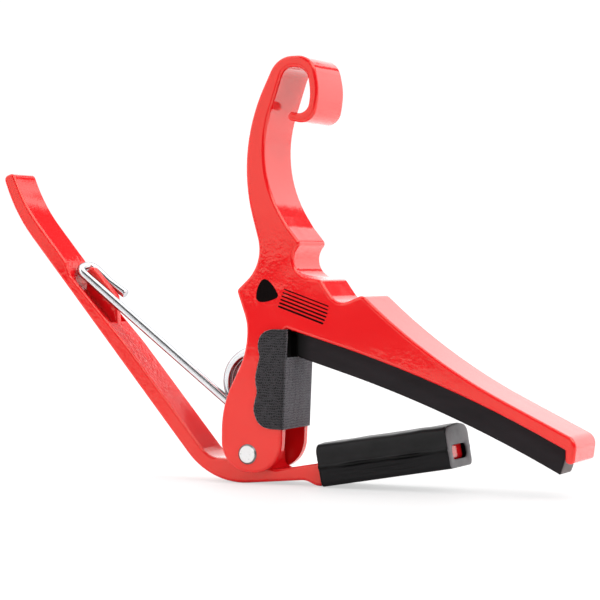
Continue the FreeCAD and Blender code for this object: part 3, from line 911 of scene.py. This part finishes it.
def make_mark(material):
    """A plain generic mark: a plectrum, and six strings running on from it."""
    outlines = []
    for k in range(6):
        v = (2.5 - k) * STRING_GAP
        length = STRING_END - 0.10 * abs(k - 2.5) - STRING_START
        line = [Vector((STRING_START + length * t / 8, v)) for t in range(9)]
        outlines.append(ribbon(line, 0.22 + 0.03 * k))
    far_half = [(u, -v) for u, v in reversed(PLECTRUM[1:])]
    pick = [Vector(p) for p in PLECTRUM + [PLECTRUM_BACK] + far_half]
    outlines.append(flowing([pick[-1]] + pick + pick[:2], 6)[6:-6])
    verts, faces = [], []
    turn = (math.cos(MARK_TILT), math.sin(MARK_TILT))
    for outline in outlines:
        start = len(verts)
        for depth in (INK, -INK):
            for u, v in outline:
                x = MARK_X + u * turn[0] - v * turn[1]
                z = MARK_Z + u * turn[1] + v * turn[0]
                verts.append(at(x, NEAR_FACE - depth, z))
        count = len(outline)
        faces.append(tuple(range(start, start + count)))
        faces.append(tuple(reversed(range(start + count, start + 2 * count))))
        for k in range(count):
            after = (k + 1) % count
            faces.append((start + k, start + after, start + count + after, start + count + k))
    fix_normals(make_object("printed_mark", verts, faces, material, "jaw", smooth=False))


RED = red_paint()
paint("jaw_frame", RED)
paint("clamp_lever", RED)
paint("hinge_pin", pin_steel())
make_spring(bright_wire())
make_pad(pad_rubber())
make_boot(boot_rubber())
make_guard(knit_cloth(), painted_shade_cloth())
make_mark(print_ink())

# ---------------------------------------------------------------- floor, light and camera

FLOOR_FRONT, FLOOR_REACH = -0.47, 6.0
# Brightness of the studio all round, overhead, in the lamp's patch, low in front and in the flags.
STUDIO, OVERHEAD, LAMP, LOW_FRONT, FLAG = 1.85, 2.3, 5.0, 0.12, 0.10
# Brightness of the backdrop that the camera sees.
BACKDROP = 1.05
# The flags' heights ahead, and their azimuths and heights elsewhere, each as low, high and edge.
FLAGS_AHEAD = ((0.27, 0.43, 0.02), (0.53, 0.94, 0.02))
FLAGS_ROUND = (
    ((80, 185, 3), (-0.10, 0.45, 0.02)), ((4, 60, 2), (0.364, 0.408, 0.006)),
    ((-3, 18, 2), (0.427, 0.459, 0.003)), ((0, 16, 2), (0.487, 0.55, 0.006)),
)
LAMP_PATCH = ((60, 125, 3), (0.52, 0.90, 0.02))


def make_floor():
    mesh = bpy.data.meshes.new("floor")
    corners = [(-FLOOR_REACH, FLOOR_FRONT, 0), (FLOOR_REACH, FLOOR_FRONT, 0)]
    corners += [(FLOOR_REACH, FLOOR_REACH, 0), (-FLOOR_REACH, FLOOR_REACH, 0)]
    mesh.from_pydata(corners, [], [(0, 1, 2, 3)])
    floor = bpy.data.objects.new("floor", mesh)
    scene.collection.objects.link(floor)
    material, g = new_material("floor_white")
    place = g.place()
    shade = g.noise(place, 8.0)
    # The camera sees a floor that is lit almost to white, as on a light table, so its shadows are
    # pale. Bounced light sees a plain white one.
    bounce = g.node("ShaderNodeBsdfPrincipled", {
        "Base Color": g.ramp(shade, grey(0.86), grey(0.88)), "Roughness": 0.45,
        "Specular IOR Level": 0.3,
    }).outputs[0]
    shown = g.node("ShaderNodeBsdfPrincipled", {
        "Base Color": grey(0.25), "Roughness": 0.6, "Specular IOR Level": 0.1,
        "Emission Color": grey(1.0), "Emission Strength": 0.56,
    }).outputs[0]
    seen = g.node("ShaderNodeLightPath").outputs["Is Camera Ray"]
    mixed = g.node("ShaderNodeMixShader", {0: seen, 1: bounce, 2: shown}).outputs[0]
    g.node("ShaderNodeOutputMaterial", {"Surface": mixed})
    mesh.materials.append(material)


def make_world():
    """White studio all round, with dim flags that draw the darker bands and edge lines on the gloss."""
    world = bpy.data.worlds.new("studio")
    scene.world = world
    world.use_nodes = True
    g = Graph(world.node_tree)
    seen = g.node("ShaderNodeLightPath").outputs["Is Camera Ray"]
    x, y, z = g.axes(g.node("ShaderNodeTexCoord").outputs["Generated"])
    azimuth = g.math("MULTIPLY", g.math("ARCTAN2", x, y), 180 / math.pi)

    def patch(turn, height):
        """A soft-edged patch of the studio, by azimuth and height."""
        return g.math("MULTIPLY", g.window(azimuth, *turn), g.window(z, *height))

    ahead = g.math("MULTIPLY", g.step(y, -0.15, -0.25), g.window(x, -0.32, 0.32, 0.02))
    front = g.math("MULTIPLY", g.step(y, -0.55, -0.65), g.step(z, 0.012, -0.011))
    flags = [g.math("MULTIPLY", ahead, g.window(z, *height)) for height in FLAGS_AHEAD]
    flags += [patch(turn, height) for turn, height in FLAGS_ROUND]
    dim = flags[0]
    for flag in flags[1:]:
        dim = g.math("MAXIMUM", dim, flag)
    light = g.mix(g.step(z, 0.60, 0.68), grey(STUDIO), grey(OVERHEAD))
    light = g.mix(front, light, grey(LOW_FRONT))
    light = g.mix(patch(*LAMP_PATCH), light, grey(LAMP))
    light = g.mix(dim, light, grey(FLAG))
    shown = g.mix(seen, light, grey(BACKDROP))
    background = g.node("ShaderNodeBackground", {"Color": shown, "Strength": 1.0})
    g.node("ShaderNodeOutputWorld", {"Surface": background.outputs[0]})


def make_camera():
    data = bpy.data.cameras.new("camera")
    data.sensor_width = 36.0
    data.lens = 127.38
    data.clip_start = 0.01
    camera = bpy.data.objects.new("camera", data)
    camera.location = at(182.88, -374.45, 37.27)
    # It looks down by about one degree.
    camera.rotation_euler = (math.radians(90.0 - 1.026), 0.0, math.radians(25.0))
    scene.collection.objects.link(camera)
    scene.camera = camera


make_floor()
make_world()
make_camera()
